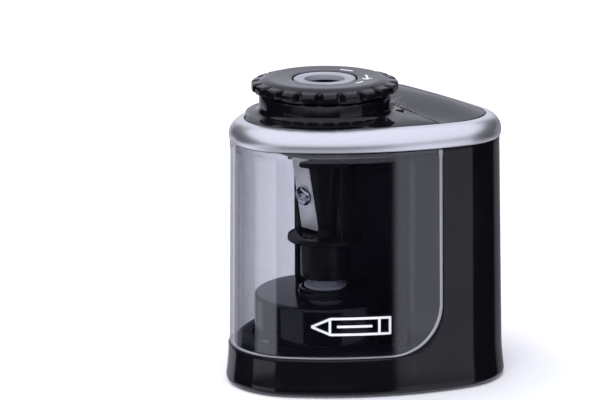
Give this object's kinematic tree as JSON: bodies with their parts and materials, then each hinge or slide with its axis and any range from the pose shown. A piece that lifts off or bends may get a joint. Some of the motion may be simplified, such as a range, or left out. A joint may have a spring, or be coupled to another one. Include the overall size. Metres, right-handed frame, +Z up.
{
  "type": "pencil sharpener",
  "caption": "Battery pencil sharpener with an egg-shaped black housing, clear front shavings bin, silver trim band and round twist-off knob over a caged cutter.",
  "frame": {"origin": "centre of the footprint, on the desk", "axes": "+Z up, -Y towards the bin and the nose, +X to the right flank"},
  "size_m": [0.0838, 0.0872, 0.0981],
  "materials": {
    "gloss_black": "glossy black ABS",
    "satin_black": "satin black ABS",
    "smoke_clear": "smoke-tinted clear plastic",
    "silver_paint": "satin metallic silver paint on ABS",
    "light_grey": "light grey ABS",
    "smoke_black": "smoky black polycarbonate",
    "steel": "ground steel",
    "spring_steel": "nickel-plated spring steel",
    "motor_steel": "zinc-plated steel",
    "brass": "bare brass",
    "nylon": "natural nylon",
    "copper": "enamelled copper windings on a laminated core",
    "ferrite": "ferrite magnet",
    "rubber": "soft black rubber",
    "cell_wrap": "printed cell sleeve, plain"
  },
  "bodies": {
    "housing": {"main_housing": "gloss_black", "gearbox_cover": "gloss_black", "front_cover": "gloss_black", "rear_cover": "gloss_black", "chamber_liner": "satin_black", "bottom_plate": "satin_black", "gearbox_base": "satin_black", "motor_bracket": "satin_black", "battery_tube_left": "satin_black", "battery_tube_right": "satin_black", "start_switch": "satin_black", "bin_switch": "satin_black", "top_frame": "satin_black", "trim_band": "silver_paint", "idler_pin": "steel", "base_screw_1": "steel", "base_screw_2": "steel", "base_screw_3": "steel", "base_screw_4": "steel", "top_screw_1": "steel", "top_screw_2": "steel", "top_screw_3": "steel", "return_spring": "spring_steel", "battery_bridge_left": "spring_steel", "battery_bridge_right": "spring_steel", "motor_can": "motor_steel", "start_leaf": "brass", "motor_end_cap": "nylon", "motor_magnets": "ferrite", "foot_left": "rubber", "foot_right": "rubber", "foot_nose_left": "rubber", "foot_nose_right": "rubber", "foot_tail": "rubber", "battery_cell_1": "cell_wrap", "battery_cell_2": "cell_wrap", "battery_cell_3": "cell_wrap", "battery_cell_4": "cell_wrap"},
    "battery_door": {"battery_door": "satin_black", "door_latch": "satin_black", "battery_spring_1": "spring_steel", "battery_spring_2": "spring_steel", "battery_spring_3": "spring_steel", "battery_spring_4": "spring_steel"},
    "bin": {"shavings_bin": "smoke_clear"},
    "guide": {"pencil_guide": "satin_black"},
    "knob": {"knob": "gloss_black", "knob_insert": "light_grey"},
    "press": {"press_collar": "light_grey"},
    "cutter": {"spindle": "steel", "cutter_body": "smoke_black", "cutter_blade": "steel", "blade_screw": "steel"},
    "output": {"output_gear": "nylon"},
    "idler": {"idler_gear": "nylon"},
    "rotor": {"motor_shaft": "steel", "motor_armature": "copper", "motor_pinion": "brass"},
    "bin_plunger": {"bin_switch_plunger": "light_grey"}
  },
  "joints": [
    {"name": "bin_slide", "type": "slide", "parent": "housing", "child": "bin", "axis": [0, -1, 0], "range_m": [0, 0.06]},
    {"name": "knob_lift", "type": "slide", "parent": "housing", "child": "guide", "axis": [0, 0, 1], "range_m": [0, 0.03]},
    {"name": "knob_twist", "type": "hinge", "parent": "guide", "child": "knob", "pos_m": [0, -0.00938, 0.095], "axis": [0, 0, 1], "range_deg": [0, 40]},
    {"name": "cutter_press", "type": "slide", "parent": "housing", "child": "press", "axis": [0, 0, -1], "range_m": [0, 0.0015], "stiffness_N_per_m": 1200, "springref_m": -0.0015, "deforming": ["return_spring"]},
    {"name": "cutter_spin", "type": "hinge", "parent": "press", "child": "cutter", "pos_m": [0, -0.00938, 0.04], "axis": [0, 0, 1], "continuous": true},
    {"name": "output_spin", "type": "hinge", "parent": "housing", "child": "output", "pos_m": [0, -0.00938, 0.0084], "axis": [0, 0, 1], "continuous": true},
    {"name": "idler_spin", "type": "hinge", "parent": "housing", "child": "idler", "pos_m": [0, 0.01222, 0.007], "axis": [0, 0, 1], "continuous": true},
    {"name": "rotor_spin", "type": "hinge", "parent": "housing", "child": "rotor", "pos_m": [0, 0.02502, 0.024], "axis": [0, 0, 1], "continuous": true},
    {"name": "door_hinge", "type": "hinge", "parent": "housing", "child": "battery_door", "pos_m": [0, 0.01282, 0.0019], "axis": [-1, 0, 0], "range_deg": [0, 80]},
    {"name": "bin_switch_press", "type": "slide", "parent": "housing", "child": "bin_plunger", "axis": [0, 1, 0], "range_m": [0, 0.001], "stiffness_N_per_m": 300, "springref_m": -0.001}
  ],
  "couplings": [
    {"joint": "idler_spin", "follows": "rotor_spin", "ratio": -0.45455},
    {"joint": "output_spin", "follows": "rotor_spin", "ratio": 0.10331},
    {"joint": "cutter_spin", "follows": "rotor_spin", "ratio": 0.10331}
  ]
}
